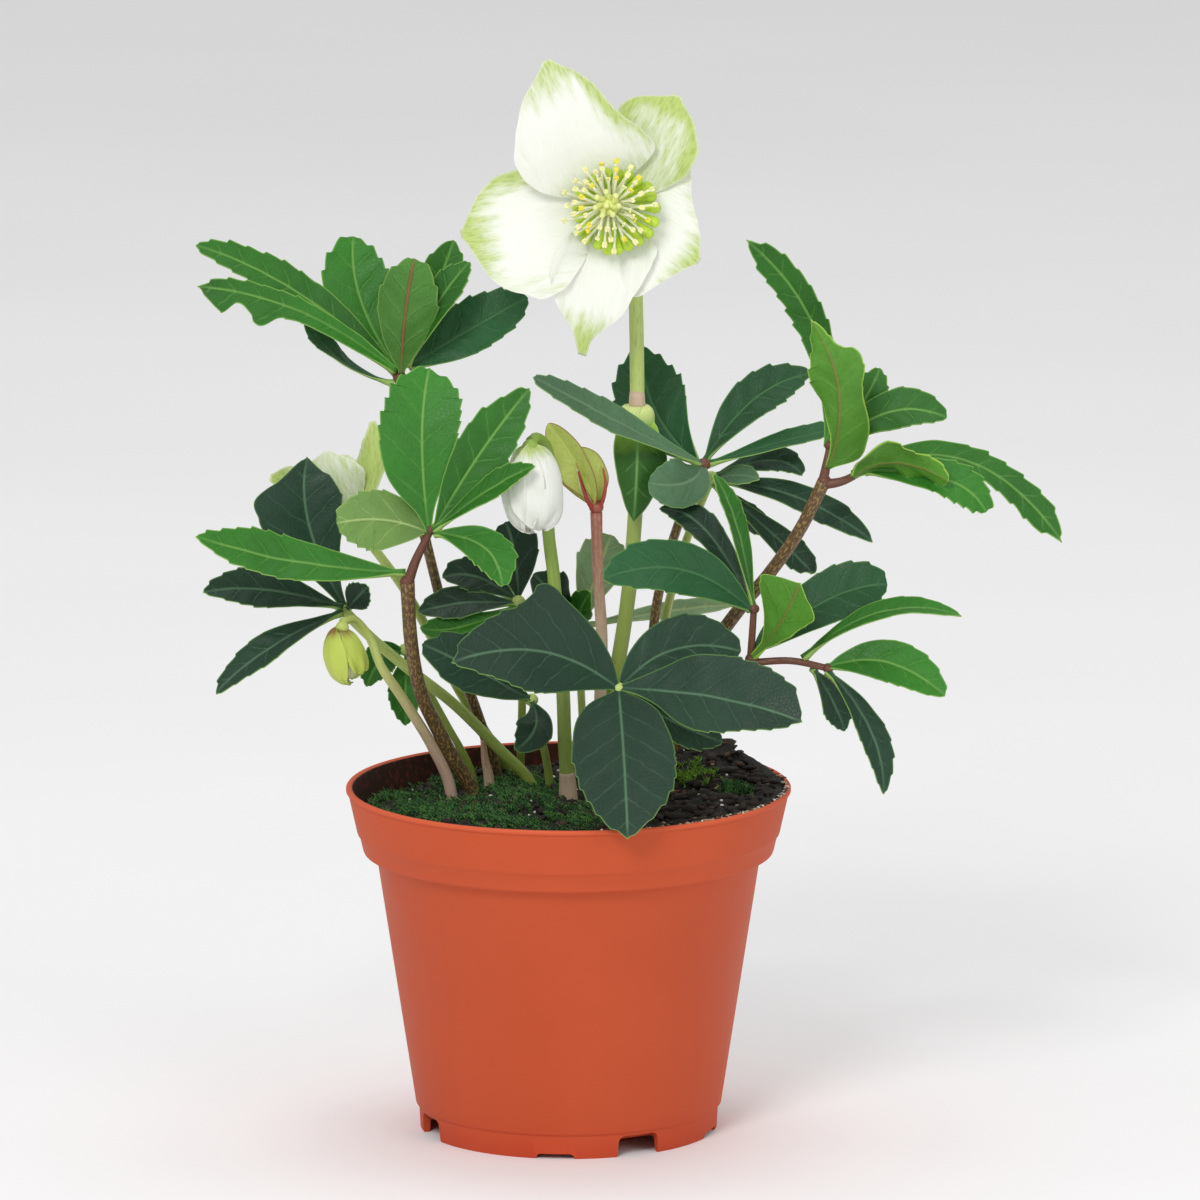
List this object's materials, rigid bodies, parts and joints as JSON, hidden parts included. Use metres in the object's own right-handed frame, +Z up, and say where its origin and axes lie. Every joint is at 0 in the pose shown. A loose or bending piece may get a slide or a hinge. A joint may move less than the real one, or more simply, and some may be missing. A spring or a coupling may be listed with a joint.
{
  "type": "potted hellebore",
  "caption": "Flowering garden hellebore with divided evergreen leaves, an open white flower and buds, rooted in a round terracotta-coloured nursery pot.",
  "frame": {"origin": "on the pot's axis, on the ground plane that the pot stands on", "axes": "+Z up, -Y towards the viewer that the open flower faces, +X to that viewer's right"},
  "size_m": [0.2319, 0.126, 0.2925],
  "materials": {
    "pot_plastic": "satin moulded terracotta-coloured plastic",
    "potting_soil": "damp and crumbly, moss in places",
    "leaf_bright": "satin leaf, light veins",
    "leaf_dark": "satin leaf with a blue sheen",
    "petal_white": "matte, soft white with green edges",
    "petal_green": "matte yellow-green",
    "bract_green": "satin pale green",
    "flower_centre": "fine cream stamens with yellow tips",
    "stalk_green": "smooth and juicy",
    "stalk_pink": "smooth, pink to beige"
  },
  "bodies": {
    "root": {"pot": "pot_plastic", "soil": "potting_soil", "leaf_upper_left": "leaf_bright", "leaf_front_left": "leaf_bright", "leaf_dark_left": "leaf_dark", "leaf_low_left": "leaf_bright", "leaf_front": "leaf_dark", "leaf_right": "leaf_dark", "leaf_right_top": "leaf_bright", "leaf_back_middle": "leaf_dark", "leaf_back_right": "leaf_dark", "leaf_inner_left": "leaf_dark", "leaf_inner_low": "leaf_dark", "leaf_inner_middle": "leaf_dark", "flower_petals": "petal_white", "flower_centre": "flower_centre", "flower_stalk": "stalk_green", "bud_petals": "petal_white", "bud_stalk": "stalk_green", "young_bud": "petal_green", "young_bud_stem": "stalk_pink", "bract_bud": "bract_green", "bract_bud_stem": "stalk_pink", "back_flower_petals": "petal_white", "back_flower_stalk": "stalk_green", "shoot": "stalk_pink"}
  },
  "joints": []
}
